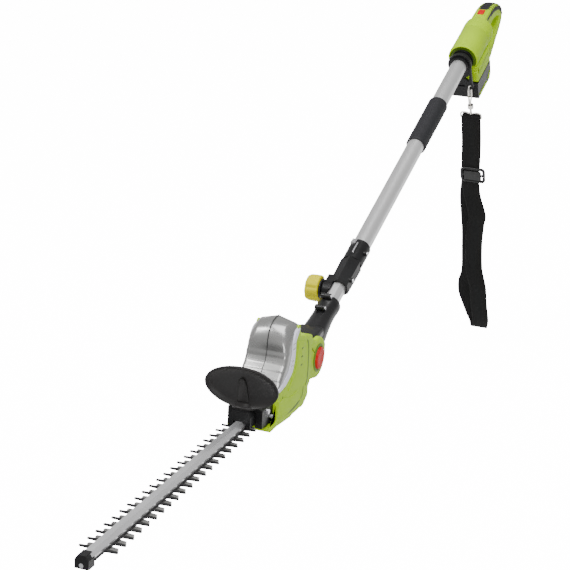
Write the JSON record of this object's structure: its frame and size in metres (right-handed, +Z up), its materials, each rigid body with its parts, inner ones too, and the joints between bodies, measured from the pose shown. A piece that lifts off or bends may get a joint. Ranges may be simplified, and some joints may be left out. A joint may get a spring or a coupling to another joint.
{
  "type": "telescopic hedge trimmer",
  "caption": "Battery pole hedge trimmer with tilting cutter head, twin reciprocating blades, telescopic tube, D-handle and hanging shoulder strap.",
  "frame": {"origin": "on the pole's axis at the middle of the foam grip", "axes": "+X forward along the pole towards the cutter head, +Y to the operator's left, +Z up, with the strap hanging down"},
  "size_m": [1.811, 0.114, 0.9053],
  "materials": {
    "tube": "satin anodised",
    "foam": "soft foam",
    "black_plastic": "fine moulded grain",
    "lime_plastic": "satin gloss",
    "dark_lime": "satin",
    "red_plastic": "satin gloss",
    "yellow_plastic": "satin",
    "silver_plastic": "satin silver lacquer",
    "pale_plastic": "satin",
    "rail_aluminium": "extruded, satin",
    "blade_steel": "ground steel",
    "dark_steel": "blackened steel",
    "screw_steel": "zinc plated",
    "gear_steel": "machined",
    "hook_metal": "nickel plated",
    "grip_rubber": "ribbed soft rubber",
    "webbing": "woven polypropylene",
    "board": "solder mask",
    "cell": "sleeved"
  },
  "bodies": {
    "pole": {"outer_tube": "tube", "foam_grip": "foam", "tube_sleeve": "black_plastic", "clamp_shell_lower": "black_plastic", "clamp_shell_upper": "black_plastic", "clamp_screws": "screw_steel", "clamp_clip": "screw_steel", "rear_shell_left": "lime_plastic", "rear_shell_right": "lime_plastic", "front_ring": "dark_lime", "tube_seat": "black_plastic", "rear_collar": "black_plastic", "strap_bracket": "black_plastic", "grip_rubber": "grip_rubber", "trigger_pivot": "screw_steel", "switch_block": "black_plastic", "control_board": "board", "battery_terminals": "black_plastic", "rear_screws": "screw_steel"},
    "clamp_knob": {"clamp_knob": "yellow_plastic", "knob_stud": "dark_steel"},
    "inner_pole": {"inner_tube": "tube", "neck_shell_left": "black_plastic", "neck_shell_right": "black_plastic", "neck_screws": "screw_steel"},
    "head": {"head_shell_left": "lime_plastic", "head_shell_right": "lime_plastic", "motor_hood": "silver_plastic", "hood_rims": "pale_plastic", "gearbox_plate": "gear_steel", "bottom_plate": "gear_steel", "gear_axle": "gear_steel", "motor_can": "gear_steel", "blade_rail": "rail_aluminium", "guard_comb": "dark_steel", "rail_screws": "screw_steel", "end_cap": "black_plastic", "cap_rivet": "screw_steel", "hand_guard": "black_plastic", "guard_bracket": "black_plastic", "guard_screws": "screw_steel", "pivot_pin": "dark_steel", "head_screws": "screw_steel"},
    "tilt_button": {"tilt_button": "red_plastic"},
    "motor_rotor": {"motor_rotor": "gear_steel"},
    "crank_gear": {"crank_gear": "gear_steel"},
    "upper_blade": {"upper_blade": "blade_steel"},
    "lower_blade": {"lower_blade": "blade_steel"},
    "trigger": {"trigger": "red_plastic"},
    "safety_button": {"safety_button": "red_plastic"},
    "battery": {"battery_case": "black_plastic", "battery_cells": "cell", "battery_stripes": "lime_plastic"},
    "battery_latch": {"battery_latch": "black_plastic"},
    "snap_hook": {"snap_hook": "hook_metal"},
    "hook_gate": {"hook_gate": "hook_metal"},
    "strap_ring": {"strap_ring": "hook_metal"},
    "shoulder_strap": {"shoulder_strap": "webbing"},
    "strap_slider": {"strap_slider": "black_plastic"}
  },
  "joints": [
    {"name": "telescope", "type": "slide", "parent": "pole", "child": "inner_pole", "axis": [1, 0, 0], "range_m": [-0.016, 0.42]},
    {"name": "clamp_knob_turn", "type": "hinge", "parent": "pole", "child": "clamp_knob", "pos_m": [0.494, -0.03, 0], "axis": [0, -1, 0], "range_deg": [-360, 0]},
    {"name": "head_tilt", "type": "hinge", "parent": "inner_pole", "child": "head", "pos_m": [0.664, 0, 0.008], "axis": [0, -1, 0], "range_deg": [-90, 20]},
    {"name": "tilt_button_press", "type": "slide", "parent": "head", "child": "tilt_button", "axis": [0, -1, 0], "range_m": [0, 0.003], "stiffness_N_per_m": 900, "springref_m": -0.003},
    {"name": "crank_turn", "type": "hinge", "parent": "head", "child": "crank_gear", "pos_m": [0.79274, 0, 0.02933], "axis": [-0.3859, 0, 0.9225], "range_deg": [-90, 90]},
    {"name": "motor_spin", "type": "hinge", "parent": "head", "child": "motor_rotor", "pos_m": [0.75598, 0, 0.04648], "axis": [-0.3859, 0, 0.9225], "range_deg": [-320, 320]},
    {"name": "upper_blade_stroke", "type": "slide", "parent": "head", "child": "upper_blade", "axis": [0.9225, 0, 0.3859], "range_m": [-0.0076, 0.0076]},
    {"name": "lower_blade_stroke", "type": "slide", "parent": "head", "child": "lower_blade", "axis": [0.9225, 0, 0.3859], "range_m": [-0.0076, 0.0076]},
    {"name": "trigger_pull", "type": "hinge", "parent": "pole", "child": "trigger", "pos_m": [-0.404, 0, 0.002], "axis": [0, -1, 0], "range_deg": [0, 8], "stiffness_Nm_per_rad": 0.6, "springref_deg": -11.46},
    {"name": "safety_slide", "type": "slide", "parent": "pole", "child": "safety_button", "axis": [-1, 0, 0], "range_m": [0, 0.003], "stiffness_N_per_m": 500, "springref_m": -0.002},
    {"name": "battery_slide", "type": "slide", "parent": "pole", "child": "battery", "axis": [0, 0, -1], "range_m": [0, 0.12]},
    {"name": "battery_latch_press", "type": "slide", "parent": "battery", "child": "battery_latch", "axis": [-1, 0, 0], "range_m": [0, 0.0018], "stiffness_N_per_m": 900, "springref_m": -0.002},
    {"name": "hook_swing", "type": "hinge", "parent": "pole", "child": "snap_hook", "pos_m": [-0.211, 0.018, -0.0434], "axis": [1, 0, 0], "range_deg": [-35, 35]},
    {"name": "gate_open", "type": "hinge", "parent": "snap_hook", "child": "hook_gate", "pos_m": [-0.206, 0.018, -0.08], "axis": [0, -1, 0], "range_deg": [0, 22], "stiffness_Nm_per_rad": 0.05, "springref_deg": -22.92},
    {"name": "ring_swivel", "type": "hinge", "parent": "snap_hook", "child": "strap_ring", "pos_m": [-0.211, 0.018, -0.1], "axis": [0, 0, 1], "range_deg": [-90, 90]},
    {"name": "strap_swing", "type": "hinge", "parent": "strap_ring", "child": "shoulder_strap", "pos_m": [-0.211, 0.018, -0.1183], "axis": [0, 1, 0], "range_deg": [-20, 20]},
    {"name": "slider_shift", "type": "slide", "parent": "shoulder_strap", "child": "strap_slider", "axis": [0, 0, 1], "range_m": [-0.34, 0.1]}
  ],
  "couplings": [
    {"joint": "motor_spin", "follows": "crank_turn", "ratio": -3.5},
    {"joint": "upper_blade_stroke", "follows": "crank_turn", "m_per_rad": -0.0047747},
    {"joint": "lower_blade_stroke", "follows": "crank_turn", "m_per_rad": 0.0047747}
  ]
}
